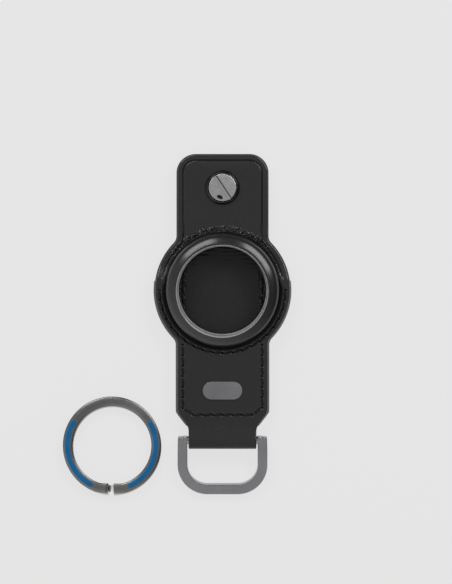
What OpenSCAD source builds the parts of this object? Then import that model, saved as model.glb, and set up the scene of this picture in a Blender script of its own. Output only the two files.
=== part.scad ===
// Leather holder for a coin tracker, lying on its back with its front face up,
// and a loose split key ring beside it. Millimetres.
// The origin is on the flat rear face, straight behind the centre of the window.
// +Y runs to the screwed end, -Y to the ring end, +Z out of the front.

/* [Tag pocket] */
// Diameter of the coin tracker that the pocket holds
tag_d = 31.9; // [30:0.1:34]
// Gap between the tracker and the pocket wall, all round
tag_gap = 0.25; // [0.1:0.05:0.5]
// Clear height from the back panel to the underside of the window lip
pocket_h = 6.8; // [6.2:0.1:8]
// Diameter of the open window, inside its metal ring
window_d = 26.5; // [24:0.1:27.2]
// Width of the flat leather round the moulded dome
flange_w = 3.1; // [2.8:0.1:4.5]

/* [Leather] */
// Thickness of the front leather
front_t = 1.2; // [1:0.1:1.4]
// Thickness of the back panel
back_t = 1.2; // [0.9:0.1:1.6]
// Thickness of the strap along the rear
strap_t = 1.2; // [1:0.1:1.8]
// Thickness of the lining under the flap
lining_t = 0.8; // [0.5:0.1:1]
// Thickness of the edge filler between front and back
welt_t = 2; // [1.8:0.1:2.4]
// How far the edge filler stands out past the front leather
welt_edge = 0.55; // [0.3:0.05:0.9]
// How far the back panel stands out past the front leather
back_edge = 0.35; // [0.2:0.05:0.5]

/* [Outline] */
// Width of the strap above and below the disc
body_w = 27.5; // [25:0.5:30]
// Length of the straight body below the disc, down to its taper
body_l = 16.8; // [14:0.1:22]
// Length of the taper to the tab
taper_l = 4.4; // [3.5:0.1:5.5]
// Width of the tab that folds round the ring bar
tab_w = 20.7; // [18:0.1:21.5]
// Distance from the end of the taper to the axis of the ring bar
tab_l = 4.15; // [3.8:0.05:6]
// Radius of the two corners at the screwed end
corner_r = 5.5; // [3:0.1:8]
// Radius of the hollows where the disc meets the strap
neck_r = 3; // [2:0.1:4]

/* [Flap] */
// Distance from the disc's edge to the line where the flap bends
fold_gap = 1.2; // [1:0.1:2]
// Distance from that bend to the screw
screw_from_fold = 9.65; // [9.2:0.05:13]
// Distance from the screw to the screwed end
screw_to_end = 10.05; // [8:0.05:14]

/* [Screw] */
// Diameter of the cup washer on the flap
washer_d = 10.5; // [10:0.1:12]
// Height of the cup washer
washer_h = 1.3; // [1.2:0.05:1.6]
// Diameter of the slotted screw head
head_d = 8.5; // [7.5:0.1:8.6]
// Width of the screwdriver slot
slot_w = 1.2; // [0.8:0.1:1.6]
// Diameter of the screw's thread at its root
thread_d = 2.9; // [2.6:0.1:3]
// Radial depth of the screw thread, left open between screw and post
thread_depth = 0.3; // [0.28:0.01:0.4]
// Outer diameter of the post's barrel
barrel_d = 4.8; // [4.6:0.1:5.2]
// Diameter of the post's flat rear head
post_head_d = 10; // [8:0.1:12]

/* [Ring] */
// Outer width of the D-ring
ring_w = 27.45; // [26.8:0.05:30]
// Distance from the bar's axis to the far end of the D-ring
ring_l = 16.75; // [15:0.05:22]
// Width of the D-ring's flat face
ring_face = 2.97; // [2.4:0.01:3]
// Thickness of the D-ring and diameter of its bar
ring_t = 2.5; // [2.2:0.1:2.8]
// Outer radius of the D-ring's two far corners
ring_corner_r = 9.15; // [7:0.05:10]

/* [Key ring] */
// Outer diameter of the split key ring
key_od = 30; // [28:0.5:34]
// Inner diameter of the split key ring
key_id = 24.2; // [22:0.1:24.6]
// Thickness of each of its two turns
key_turn_t = 1.45; // [1.2:0.05:1.7]
// Distance of the key ring's centre to the left of the holder's middle
key_left = 33.9; // [33.5:0.1:40]
// Distance of the key ring's centre below the window's centre
key_below = 47.6; // [44:0.1:56]

/* [Stitching] */
// Distance from one stitch to the next
stitch_pitch = 2.9; // [2.4:0.1:4]
// Length of each visible stitch
stitch_l = 2.1; // [1.6:0.1:2.3]
// Width of the thread
thread_w = 0.5; // [0.3:0.05:0.7]
// Distance from the leather's edge to the stitching
stitch_inset = 1.45; // [1.2:0.05:1.7]

/* [Hidden] */
$fn = 96;

// Small values that several pieces share
cut = 1; // overrun of a cut past the face that it opens
seat_gap = 0.05; // air between two pieces that lie on each other but move apart
moving_gap = 0.15; // air between the two halves of the fold
hole_gap = 0.05; // air round the barrel where it is held fast
flap_hole_gap = 0.2; // air round the barrel where the flap lifts off it
half_share = 0.5;

// Levels, from the flat rear face upwards
strap_top = strap_t;
back_top = strap_top + back_t;
welt_top = back_top + welt_t;
flange_top = welt_top + front_t;
lining_bottom = back_top + seat_gap;
flap_bottom = lining_bottom + lining_t;
flap_top = flap_bottom + front_t;
lip_bottom = back_top + pocket_h;
lip_t = 1; // front leather, pared thin under the window ring
lip_top = lip_bottom + lip_t;

// Radii about the window's centre
pocket_r = tag_d / 2 + tag_gap;
dome_r = pocket_r + front_t;
disc_r = dome_r + flange_w;
window_r = window_d / 2;
eyelet_wall = 0.3; // tube of the window ring, through the leather
rim_w = 0.7; // face of the window ring that shows
rim_t = 0.3; // thickness of that face
lip_r = window_r + eyelet_wall;

// Places along the strap
half_w = body_w / 2;
half_tab = tab_w / 2;
fold_y = disc_r + fold_gap;
fold_z = flap_bottom + front_t / 2;
fold_r = front_t / 2;
screw_y = fold_y + screw_from_fold;
end_y = screw_y + screw_to_end;
body_y = -(disc_r + body_l);
taper_y = body_y - taper_l;
bar_y = taper_y - tab_l;

// The moulded dome
wall_lean = 0.15; // how far the dome's wall leans in before its shoulder
shoulder_h = 3; // height of the rounded shoulder
shoulder_y = lip_top - shoulder_h;
shoulder_land = 0.45; // flat leather between the shoulder and the window ring
shoulder_in = window_r + rim_w + shoulder_land;
inner_shoulder_h = 2;
inner_land = 1.05;
inner_shoulder_in = window_r + inner_land;
shoulder_steps = 8;

// Above the edge filler the front leather slopes down to the flap's level
filler_end = 2.9; // the filler's two upper ends, above the window's centre
dip_l = 3.6; // length of the slope

// The crease pressed into the free edge
crease_in = 1.45;
crease_w = 0.5;
crease_depth = 0.25;

// The fold round the ring bar
bar_r = ring_t / 2;
bar_gap = 0.1;
channel_r = bar_r + bar_gap;
loop_r = channel_r + front_t;
bar_z = (flange_top + back_top) / 2;
return_l = 6.2; // length of the tab's end, tucked in between the layers
// The D-ring hangs down from its bar until its far end lies level with the rear face
ring_reach = sqrt(ring_l * ring_l + bar_r * bar_r);
ring_droop = asin(bar_z / ring_reach) - atan(bar_r / ring_l);
ring_inner_r = ring_corner_r - ring_face;
arm_gap = 0.405; // between the tab and each of the ring's two arms
arm_w = (ring_w - tab_w) / 2 - arm_gap;

// The screw and its post
thread_r = thread_d / 2;
bore_r = thread_r + thread_depth;
barrel_r = barrel_d / 2;
barrel_short = 0.25; // the barrel ends this far below the flap's face
head_cover = 0.3; // leather left over the post's rear head, which lies flush in the strap
barrel_top = flap_top - barrel_short;
post_head_t = strap_t - head_cover;
bore_floor = 0.6;
thread_tip = 1.6; // level of the screw's end
washer_floor = 0.35;
washer_rim = 0.12; // width of the washer's top edge
head_gap = 0.1;
head_r = head_d / 2;
washer_r = washer_d / 2;
washer_bottom = flap_top + seat_gap;
head_bottom = washer_bottom + washer_floor + seat_gap;
head_top = washer_bottom + washer_h;
slot_depth = 0.55;
slot_angle = -56; // the slot runs from upper left to lower right
washer_steps = 6;

// The badge plate on the lower body
badge_w = 12;
badge_h = 5.4;
badge_t = 0.7;
badge_bevel = 0.25;
badge_up_share = 0.4; // its place, as a share of the body's straight length above the taper

// The split key ring
key_gap_mid = 268.7; // degrees, where the upper turn is open
key_gap_half = 3.7; // degrees to either side
key_turn_gap = 0.1;
key_r = key_od / 2;
key_in = key_id / 2;
key_mid = (key_r + key_in) / 2;
key_face = key_r - key_in;
key_step_z = key_turn_t + key_turn_gap;
key_tie = 0.3; // how far the step between the turns runs into each of them
enamel_w_share = 0.5; // of the ring's face
enamel_w = key_face * enamel_w_share;
enamel_depth = 0.4;
enamel_t = 0.35;
enamel_cap_share = 0.9; // of the band's half width: radius of its round ends
left_enamel_start = 148.5;
left_enamel_end = 241.5;
right_enamel_start = -65;
right_enamel_end = 29.5;

// Threads
thread_h = 0.22;
groove_depth = 0.25; // the rear seams lie in channels this deep, below the flat rear face
groove_w = 0.8;
thread_sides = 6;
round_seam_out = 0.1; // the round seam lies this much nearer the edge
side_seam_in = 0.2; // the straight seams lie this much further in
seam_r = disc_r - stitch_inset + round_seam_out;
seam_x = half_w - stitch_inset - side_seam_in;
seam_y = -sqrt(disc_r * disc_r - half_w * half_w);
strap_edge = 0.15;
strap_half = half_w + strap_edge;
corner_in_share = 0.875; // where the side seams end, across the tab and down the taper
bottom_seam_share = 0.16; // how far down the taper the bottom seam lies

// Outline of the disc with the strap running up or down from it, `grow` wider all round.
// `up` is 1 towards the screwed end and -1 towards the ring.
module hollow(r, hw, up) {
  cy = sqrt((r + neck_r) * (r + neck_r) - (hw + neck_r) * (hw + neck_r));
  for (side = [-1, 1]) {
    difference() {
      polygon([[0, 0], [side * (hw + neck_r), up * cy], [0, up * cy]]);
      translate([side * (hw + neck_r), up * cy]) circle(neck_r);
    }
  }
}

module upper_strap(grow, from_y) {
  hw = half_w + grow;
  top = end_y + grow;
  r = corner_r + grow;
  translate([-hw, from_y]) square([2 * hw, top - r - from_y]);
  translate([-(hw - r), from_y]) square([2 * (hw - r), top - from_y]);
  for (side = [-1, 1]) {
    translate([side * (hw - r), top - r]) circle(r);
  }
}

module lower_strap(grow, from_y) {
  hw = half_w + grow;
  ht = half_tab + grow;
  polygon([[-hw, from_y], [-hw, body_y], [-ht, taper_y], [ht, taper_y], [hw, body_y], [hw, from_y]]);
}

module upper_outline(grow) {
  circle(disc_r + grow);
  upper_strap(grow, 0);
  hollow(disc_r + grow, half_w + grow, 1);
}

// A plate of the disc and the strap on one side of it, lying at `level`
module plate(level, t, grow, up) {
  translate([0, 0, level]) {
    linear_extrude(t) circle(disc_r + grow);
    linear_extrude(t) hollow(disc_r + grow, half_w + grow, up);
    linear_extrude(t) {
      if (up > 0) upper_strap(grow, 0);
      else lower_strap(grow, 0);
    }
  }
}

// A box that keeps what lies beyond a line across the strap
module beyond(from_y, up, h) {
  span = end_y - bar_y;
  translate([-span, up > 0 ? from_y : from_y - span, -span]) cube([2 * span, span, 2 * span + h]);
}

module crease(level) {
  translate([0, 0, level - crease_depth]) linear_extrude(crease_depth + cut) difference() {
    upper_outline(-crease_in);
    upper_outline(-crease_in - crease_w);
  }
}

function arc_points(r_out, r_in, z_low, z_high, steps) =
  [for (i = [0:steps]) [r_in + (r_out - r_in) * cos(90 * i / steps),
    z_low + (z_high - z_low) * sin(90 * i / steps)]];

function reversed(points) = [for (i = [len(points) - 1:-1:0]) points[i]];

// Section along the strap of the front leather, or of what lies under it when `t` is 0
function leather_section(t) =
  let (low = [[bar_y, welt_top], [filler_end, welt_top], [filler_end + dip_l, flap_bottom],
    [fold_y - fold_r - moving_gap, flap_bottom]])
  concat(low, t > 0 ? [for (p = reversed(low)) p + [0, t]] : [[end_y, flap_bottom], [end_y, 0],
    [bar_y, 0]]);

module along_strap(points) {
  translate([-disc_r - cut, 0, 0]) rotate([90, 0, 90]) linear_extrude(2 * (disc_r + cut))
    polygon(points);
}

// The moulded dome, standing on the level of the flat leather round it
module dome() {
  outer = arc_points(dome_r - wall_lean, shoulder_in, shoulder_y, lip_top, shoulder_steps);
  inner = arc_points(pocket_r, inner_shoulder_in, lip_bottom - inner_shoulder_h, lip_bottom,
    shoulder_steps);
  difference() {
    rotate_extrude() polygon(concat([[pocket_r, lining_bottom], [dome_r, lining_bottom],
      [dome_r, flange_top]], outer, [[lip_r, lip_top], [lip_r, lip_bottom]], reversed(inner)));
    along_strap(leather_section(0));
  }
}

// The flat leather round the dome, on the lower body and up to the fold
module flat_leather() {
  h = flange_top + cut;
  difference() {
    intersection() {
      along_strap(leather_section(front_t));
      union() {
        linear_extrude(h) circle(disc_r);
        linear_extrude(h) lower_strap(0, 0);
        linear_extrude(h) translate([-half_w, 0]) square([body_w, fold_y]);
        linear_extrude(h) hollow(disc_r, half_w, 1);
        linear_extrude(h) hollow(disc_r, half_w, -1);
      }
    }
    cylinder(h = h, r = (pocket_r + dome_r) / 2);
    translate([-disc_r, bar_y - cut, 0]) cube([2 * disc_r, tab_l + cut, h]);
  }
}

// Section of the tab's fold, in the plane of Y and Z about the ring bar
function touch(p, r, side) =
  let (d = norm(p), a = atan2(p[1], p[0]) + side * acos(r / d)) [r * cos(a), r * sin(a)];

module fold_section() {
  leg = [tab_l, flange_top - bar_z];
  inside = [tab_l, welt_top - bar_z];
  difference() {
    union() {
      circle(loop_r);
      polygon([leg, touch(leg, loop_r, 1), [0, 0], touch([leg[0], -leg[1]], loop_r, -1),
        [leg[0], -leg[1]]]);
    }
    circle(channel_r);
    polygon([inside, touch(inside, channel_r, 1), [0, 0],
      touch([inside[0], -inside[1]], channel_r, -1), [inside[0], -inside[1]]]);
  }
}

module tab() {
  translate([-half_tab, bar_y, bar_z]) rotate([90, 0, 90]) linear_extrude(tab_w) fold_section();
  translate([-half_tab, taper_y, back_top]) cube([tab_w, return_l, front_t]);
}

module front_panel() {
  color("#242426") difference() {
    union() {
      dome();
      flat_leather();
      tab();
    }
    intersection() {
      crease(flap_top);
      beyond(filler_end + dip_l, 1, 0);
    }
  }
}

module front_flap() {
  color("#242426") difference() {
    union() {
      translate([0, 0, flap_bottom]) linear_extrude(front_t) upper_strap(0, fold_y);
      translate([-half_w, fold_y, fold_z]) rotate([0, 90, 0]) cylinder(h = body_w, r = fold_r);
    }
    crease(flap_top);
    translate([0, screw_y, flap_bottom - cut])
      cylinder(h = front_t + 2 * cut, r = barrel_r + flap_hole_gap);
  }
}

module flap_lining() {
  color("#1b1b1c") difference() {
    translate([0, 0, lining_bottom]) linear_extrude(lining_t) upper_strap(0, fold_y + fold_gap);
    translate([0, screw_y, lining_bottom - cut])
      cylinder(h = lining_t + 2 * cut, r = barrel_r + flap_hole_gap);
  }
}

module window_ring() {
  foot = lip_bottom - rim_t;
  color("#8c8c90") rotate_extrude() polygon([
    [window_r, foot], [lip_r, foot], [lip_r, lip_top], [window_r + rim_w, lip_top],
    [window_r + rim_w, lip_top + rim_t * half_share],
    [window_r + rim_w * half_share, lip_top + rim_t], [window_r, lip_top + rim_t * half_share]]);
}

module window_washer() {
  color("#77777b") translate([0, 0, lip_bottom - rim_t]) difference() {
    cylinder(h = rim_t, r = lip_r + rim_w);
    translate([0, 0, -cut]) cylinder(h = rim_t + 2 * cut, r = lip_r);
  }
}

module edge_filler() {
  color("#39393c") difference() {
    plate(back_top, welt_t, welt_edge, -1);
    translate([0, 0, back_top - cut]) cylinder(h = welt_t + 2 * cut, r = pocket_r);
    translate([-half_tab, taper_y - cut, back_top - cut])
      cube([tab_w, return_l + cut, front_t + cut]);
    beyond(filler_end, 1, 0);
  }
}

module barrel_hole(level, t) {
  translate([0, screw_y, level - cut]) cylinder(h = t + 2 * cut, r = barrel_r + hole_gap);
}

module back_panel() {
  color("#1d1d1f") difference() {
    union() {
      plate(strap_top, back_t, back_edge, 1);
      plate(strap_top, back_t, back_edge, -1);
    }
    barrel_hole(strap_top, back_t);
  }
}

module rear_strap() {
  color("#232325") difference() {
    union() {
      linear_extrude(strap_t) upper_strap(strap_edge, 0);
      linear_extrude(strap_t) lower_strap(strap_edge, 0);
    }
    barrel_hole(0, strap_t);
    translate([0, screw_y, -cut]) cylinder(h = post_head_t + cut, r = post_head_d / 2 + hole_gap);
    for (side = [-1, 1]) {
      bend = side_seam_points(side)[1];
      groove(bend, strap_seam_top(side));
      groove(bend, side_seam_points(side)[2]);
    }
    groove(bottom_seam_end(-1), bottom_seam_end(1));
    rotate([0, 0, 180]) rotate_extrude(angle = 180) translate([seam_r - groove_w / 2, -cut])
      square([groove_w, groove_depth + cut]);
  }
}

module pill(w, h) {
  r = h / 2;
  translate([-(w / 2 - r), -r]) square([w - h, h]);
  for (side = [-1, 1]) {
    translate([side * (w / 2 - r), 0]) circle(r);
  }
}

module badge_plate() {
  place = taper_y + taper_l + body_l * badge_up_share;
  color("#7d7d82") translate([0, place, flange_top]) {
    linear_extrude(badge_t - badge_bevel) pill(badge_w, badge_h);
    linear_extrude(badge_t) pill(badge_w - 2 * badge_bevel, badge_h - 2 * badge_bevel);
  }
}

module post() {
  color("#8a8a8e") translate([0, screw_y, 0]) difference() {
    union() {
      cylinder(h = post_head_t, r = post_head_d / 2);
      cylinder(h = barrel_top, r = barrel_r);
    }
    translate([0, 0, bore_floor]) cylinder(h = barrel_top, r = bore_r);
  }
}

module cup_washer() {
  rim = head_r + head_gap;
  color("#5b5b60") translate([0, screw_y, washer_bottom]) rotate_extrude() polygon(concat(
    [[thread_r + head_gap, 0]],
    arc_points(washer_r, rim + washer_rim, 0, washer_h, washer_steps),
    [[rim, washer_h], [rim, washer_floor], [thread_r + head_gap, washer_floor]]));
}

module screw() {
  color("#9a9a9e") translate([0, screw_y, 0]) difference() {
    union() {
      translate([0, 0, head_bottom]) cylinder(h = head_top - head_bottom, r = head_r);
      translate([0, 0, thread_tip]) cylinder(h = head_top - thread_tip - slot_depth, r = thread_r);
    }
    rotate([0, 0, slot_angle]) translate([-head_r - cut, -slot_w / 2, head_top - slot_depth])
      cube([head_d + 2 * cut, slot_w, slot_depth + cut]);
  }
}

// Flat outline of the D-ring about its bar's axis: square at the bar, round at the far end
module d_outline(side_in, far_in, corner) {
  w = ring_w / 2 - side_in;
  far = -(ring_l - far_in);
  translate([-w, far + corner]) square([2 * w, bar_r - (far + corner)]);
  intersection() {
    union() {
      translate([-(w - corner), far]) square([2 * (w - corner), corner]);
      for (side = [-1, 1]) {
        translate([side * (w - corner), far + corner]) circle(corner);
      }
    }
    translate([-w, far]) square([2 * w, corner]);
  }
}

module d_ring() {
  reach = ring_w / 2 - arm_w;
  color("#6e6e73") translate([0, bar_y, bar_z]) rotate([ring_droop, 0, 0]) {
    translate([0, 0, -bar_r]) linear_extrude(ring_t) difference() {
      d_outline(0, 0, ring_corner_r);
      d_outline(arm_w, ring_face, ring_inner_r);
    }
    translate([-reach - cut, 0, 0]) rotate([0, 90, 0]) cylinder(h = 2 * (reach + cut), r = bar_r);
  }
}

// One stitch: a half-round bar along X, lying on the plane z = 0
module stitch() {
  translate([-stitch_l / 2, 0, 0]) rotate([90, 0, 90]) linear_extrude(stitch_l)
    polygon([for (i = [0:thread_sides])
      [thread_w / 2 * cos(180 * i / thread_sides), thread_h * sin(180 * i / thread_sides)]]);
}

// A straight row of stitches between two points, on a face at `level` that looks up or down
module stitch_row(from, to, level, up) {
  run = to - from;
  count = floor(norm(run) / stitch_pitch);
  for (i = [0:count - 1]) {
    translate([from[0] + run[0] * (i + half_share) / count, from[1] + run[1] * (i + half_share) / count,
      level]) rotate([up > 0 ? 0 : 180, 0, atan2(run[1], run[0])]) stitch();
  }
}

// Where the straight seams run
function side_seam_points(side) = [
  [side * seam_x, seam_y - stitch_pitch * half_share],
  [side * seam_x, body_y + stitch_pitch * half_share],
  [side * half_tab * corner_in_share, taper_y + taper_l * corner_in_share]];

function bottom_seam_end(side) =
  [side * (half_tab - stitch_pitch * half_share), body_y - taper_l * bottom_seam_share];

function strap_seam_top(side) = [side * seam_x, end_y - corner_r];

// A channel in the rear face for a row of stitches between two points
module groove(from, to) {
  run = to - from;
  translate([from[0], from[1], -cut]) rotate([0, 0, atan2(run[1], run[0])])
    translate([-groove_w / 2, -groove_w / 2, 0])
      cube([norm(run) + groove_w, groove_w, groove_depth + cut]);
}

// The round seam under the dome: stitches on the front, and again on the rear,
// where they lie in the strap's channel or on the back panel beside it
module pocket_seam() {
  count = floor(PI * seam_r / stitch_pitch);
  color("#101011") for (i = [0:count - 1]) {
    a = 180 + 180 * (i + half_share) / count;
    x = abs(seam_r * cos(a));
    on_strap = x + stitch_l / 2 < strap_half;
    beside = x - stitch_l / 2 > strap_half;
    rotate([0, 0, a]) translate([seam_r, 0, flange_top]) rotate([0, 0, 90]) stitch();
    if (on_strap || beside) {
      rotate([0, 0, a]) translate([seam_r, 0, on_strap ? groove_depth : strap_top])
        rotate([180, 0, 90]) stitch();
    }
  }
}

module side_seam(side) {
  points = side_seam_points(side);
  color("#101011") for (face = [[flange_top, 1], [groove_depth, -1]]) {
    stitch_row(points[0], points[1], face[0], face[1]);
    stitch_row(points[1], points[2], face[0], face[1]);
  }
}

module bottom_seam() {
  color("#101011") for (face = [[flange_top, 1], [groove_depth, -1]]) {
    stitch_row(bottom_seam_end(-1), bottom_seam_end(1), face[0], face[1]);
  }
}

// The row that holds the rear strap to the back panel, seen inside the pocket
module strap_seam(side) {
  x = side * seam_x;
  y = sqrt(pocket_r * pocket_r - seam_x * seam_x) - thread_w;
  color("#101011") {
    stitch_row([x, -y], [x, y], back_top, 1);
    stitch_row([x, seam_y + stitch_pitch], strap_seam_top(side), groove_depth, -1);
  }
}

module turn(level) {
  rotate([0, 0, key_gap_mid + key_gap_half]) translate([0, 0, level])
    rotate_extrude(angle = 360 - 2 * key_gap_half)
      translate([key_in, 0]) square([key_face, key_turn_t]);
}

// The slanted step in the gap, from the upper turn on the right to the lower on the left
module key_step() {
  run = 2 * key_mid * sin(key_gap_half);
  rise = key_step_z + key_turn_t;
  rotate([0, 0, key_gap_mid]) translate([key_r, -run / 2, 0]) rotate([90, 0, -90])
    linear_extrude(key_face) polygon([[-run - key_tie, key_step_z], [-run, key_step_z], [0, 0],
      [key_tie, 0], [key_tie, key_turn_t], [0, key_turn_t], [-run, rise], [-run - key_tie, rise]]);
}

// A band of enamel with round ends, along the upper turn
module enamel_band(start, end, t) {
  rotate([0, 0, start]) rotate_extrude(angle = end - start)
    translate([key_mid - enamel_w / 2, 0]) square([enamel_w, t]);
  for (a = [start, end]) {
    rotate([0, 0, a]) translate([key_mid, 0, 0])
      cylinder(h = t, r = enamel_cap_share * enamel_w / 2);
  }
}

module key_place() {
  translate([-key_left, -key_below, 0]) children();
}

module key_ring() {
  top = key_step_z + key_turn_t;
  color("#6a6a6e") key_place() difference() {
    union() {
      turn(0);
      turn(key_step_z);
      key_step();
    }
    translate([0, 0, top - enamel_depth]) {
      enamel_band(left_enamel_start, left_enamel_end, enamel_depth + cut);
      enamel_band(right_enamel_start, right_enamel_end, enamel_depth + cut);
    }
  }
}

module enamel(start, end) {
  color("#0c5b94") key_place()
    translate([0, 0, key_step_z + key_turn_t - enamel_depth]) enamel_band(start, end, enamel_t);
}

front_panel();
front_flap();
flap_lining();
window_ring();
window_washer();
edge_filler();
back_panel();
rear_strap();
badge_plate();
post();
cup_washer();
screw();
d_ring();
pocket_seam();
side_seam(-1);  // left_seam
side_seam(1);  // right_seam
bottom_seam();
strap_seam(-1);  // left_strap_seam
strap_seam(1);  // right_strap_seam
key_ring();
enamel(left_enamel_start, left_enamel_end);  // left_enamel
enamel(right_enamel_start, right_enamel_end);  // right_enamel
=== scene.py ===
import bpy
import bmesh
from math import radians, degrees, sin, cos, atan2, sqrt, acos, hypot, pi, exp
from mathutils import Matrix, Vector, noise


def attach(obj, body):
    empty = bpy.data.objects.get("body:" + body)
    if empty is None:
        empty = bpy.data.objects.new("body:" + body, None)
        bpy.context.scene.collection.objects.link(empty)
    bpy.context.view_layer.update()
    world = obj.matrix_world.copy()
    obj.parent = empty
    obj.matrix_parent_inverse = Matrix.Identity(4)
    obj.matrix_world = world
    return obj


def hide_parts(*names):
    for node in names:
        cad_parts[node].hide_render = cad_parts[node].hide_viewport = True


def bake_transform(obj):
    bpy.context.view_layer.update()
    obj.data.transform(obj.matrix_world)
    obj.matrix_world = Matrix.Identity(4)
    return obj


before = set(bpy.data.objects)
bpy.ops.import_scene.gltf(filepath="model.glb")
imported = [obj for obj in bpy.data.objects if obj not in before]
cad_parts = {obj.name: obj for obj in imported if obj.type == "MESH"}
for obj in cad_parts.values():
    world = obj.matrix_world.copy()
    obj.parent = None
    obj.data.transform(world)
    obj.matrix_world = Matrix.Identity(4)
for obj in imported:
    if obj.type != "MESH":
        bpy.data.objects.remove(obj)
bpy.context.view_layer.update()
scene = bpy.context.scene
scene.view_settings.view_transform = "Standard"

# Everything is drawn in millimetres and made metres when a piece is finished.
# The origin is on the flat rear face behind the window, +Y runs to the screwed end.
holder = {
    "discR": 20.5,
    "halfWidth": 13.75,
    "neckR": 3.0,
    "cornerR": 5.5,
    "endY": 41.4,
    "bodyY": -37.3,
    "taperY": -41.7,
    "halfTab": 10.35,
    "taperCorner": 1.3,
    "screwY": 31.35,
    "barY": -45.85,
    "barZ": 4.0,
    "barR": 1.24,
}


def vertsIn(geom):
    return [g for g in geom if isinstance(g, bmesh.types.BMVert)]


def edgesIn(geom):
    return [g for g in geom if isinstance(g, bmesh.types.BMEdge)]


def fixNormals(bm):
    bmesh.ops.recalc_face_normals(bm, faces=bm.faces[:])


def linkedEdges(verts):
    # A dictionary keeps their order, and a set wouldn't
    return list(dict.fromkeys(edge for vert in verts for edge in vert.link_edges))


def centreOf(face):
    return face.calc_center_median()


def slide(bm, vec, verts=None):
    bmesh.ops.translate(bm, vec=vec, verts=bm.verts[:] if verts is None else verts)


def rotate(bm, angle, axis, verts=None):
    bmesh.ops.rotate(bm, cent=(0, 0, 0), matrix=Matrix.Rotation(angle, 3, axis),
                     verts=bm.verts[:] if verts is None else verts)


def weld(bm, dist=0.001):
    bmesh.ops.remove_doubles(bm, verts=bm.verts[:], dist=dist)


def toMesh(bm, name):
    mesh = bpy.data.meshes.new(name)
    bm.to_mesh(mesh)
    bm.free()
    return mesh


def addShape(bm, other):
    # Adds the other shape to bm and frees it
    mesh = toMesh(other, "added")
    bm.from_mesh(mesh)
    bpy.data.meshes.remove(mesh)


def draw(bm, start, moves):
    # Draws a chain of edges at height 0
    last = bm.verts.new((start[0], start[1], 0))
    for move in moves:
        if len(move) == 2:  # a straight run to a point
            new = bmesh.ops.extrude_vert_indiv(bm, verts=[last])["verts"][0]
            new.co = (move[0], move[1], 0)
        else:  # an arc about a point: centre x, centre y, degrees, steps
            turned = bmesh.ops.spin(bm, geom=[last], cent=(move[0], move[1], 0), axis=(0, 0, 1),
                                    angle=radians(move[2]), steps=move[3])
            new = vertsIn(turned["geom_last"])[0]
        last = new


def circleLoop(bm, x, y, z, radius, segments):
    place = Matrix.Translation((x, y, z))
    verts = bmesh.ops.create_circle(bm, cap_ends=False, radius=radius, segments=segments, matrix=place)["verts"]
    return linkedEdges(verts)


def pullLoop(bm, edges, steps):
    # Extrudes a round loop about the Z axis from one (radius, height) to the next
    for radius, z in steps:
        made = bmesh.ops.extrude_edge_only(bm, edges=edges)["geom"]
        verts = vertsIn(made)
        edges = [e for e in edgesIn(made) if all(v in verts for v in e.verts)]
        now = hypot(*verts[0].co.xy)
        bmesh.ops.scale(bm, vec=(radius / now, radius / now, 1), verts=verts)
        slide(bm, (0, 0, z - verts[0].co.z), verts)
    return edges


def dropLoop(bm, edges, fall):
    made = bmesh.ops.extrude_edge_only(bm, edges=edges)["geom"]
    verts = vertsIn(made)
    slide(bm, (0, 0, -fall), verts)
    chosen = set(verts)
    return [e for e in edgesIn(made) if set(e.verts) <= chosen]


def smoothStep(value, low, high):
    t = min(1, max(0, (value - low) / (high - low)))
    return t * t * (3 - 2 * t)


def plateau(value, low, high, fallLow, fallHigh):
    # Rises from 0 to 1, stays there and falls back
    return smoothStep(value, low, high) * (1 - smoothStep(value, fallLow, fallHigh))


def bell(value, middle, width):
    return exp(-((value - middle) / width) ** 2)


def noiseAt(x, y, scaleX, scaleY, layer):
    return noise.noise((x * scaleX, y * scaleY, layer))


def outlineSizes(grow):
    # The outline `grow` wider all round: radius, half widths, the neck's radius and place, and the disc's half angle
    h = holder
    r, half, tab, neck = h["discR"] + grow, h["halfWidth"] + grow, h["halfTab"] + grow, h["neckR"]
    hollowY = sqrt((r + neck) ** 2 - (half + neck) ** 2)
    return r, half, tab, neck, hollowY, degrees(atan2(hollowY, half + neck))


def halfOutline(bm, grow, lower=True, disc=True, tabEnd=None, topFrom=0):
    # Right half of the outline, from the top middle clockwise
    h = holder
    half, tab, neck, hollowY, face = outlineSizes(grow)[1:]
    corner, top = h["cornerR"] + grow, h["endY"] + grow
    turn = 90 - degrees(atan2(half + neck, hollowY))
    moves = [(half - corner, top), (half - corner, top - corner, -90, 14)]
    if disc:
        moves += [(half, hollowY), (half + neck, hollowY, turn, 8), (0, 0, -2 * face, 60),
                  (half + neck, -hollowY, turn, 8)]
    if lower:
        moves += [(half, h["bodyY"]), (tab, h["taperY"])]
        if tabEnd is not None:
            moves += [(tab, tabEnd)]
        moves += [(0, moves[-1][1])]
    else:
        moves += [(half, topFrom), (0, topFrom)]
    draw(bm, (0, top), moves)


def closeOutline(bm):
    bmesh.ops.mirror(bm, geom=bm.verts[:] + bm.edges[:], axis="X", merge_dist=0.001)
    weld(bm)


def softenCorners(bm, grow):
    # Rounds the four corners at the taper from the lower body to the tab
    half, tab = holder["halfWidth"] + grow, holder["halfTab"] + grow
    places = [(side * x, y) for side in (-1, 1) for x, y in ((half, holder["bodyY"]), (tab, holder["taperY"]))]
    verts = [v for v in bm.verts if any(hypot(v.co.x - x, v.co.y - y) < 0.01 for x, y in places)]
    bmesh.ops.bevel(bm, geom=verts, offset=holder["taperCorner"], offset_type="OFFSET", segments=5, profile=0.5,
                    affect="VERTICES", clamp_overlap=True, material=-1)


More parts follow.
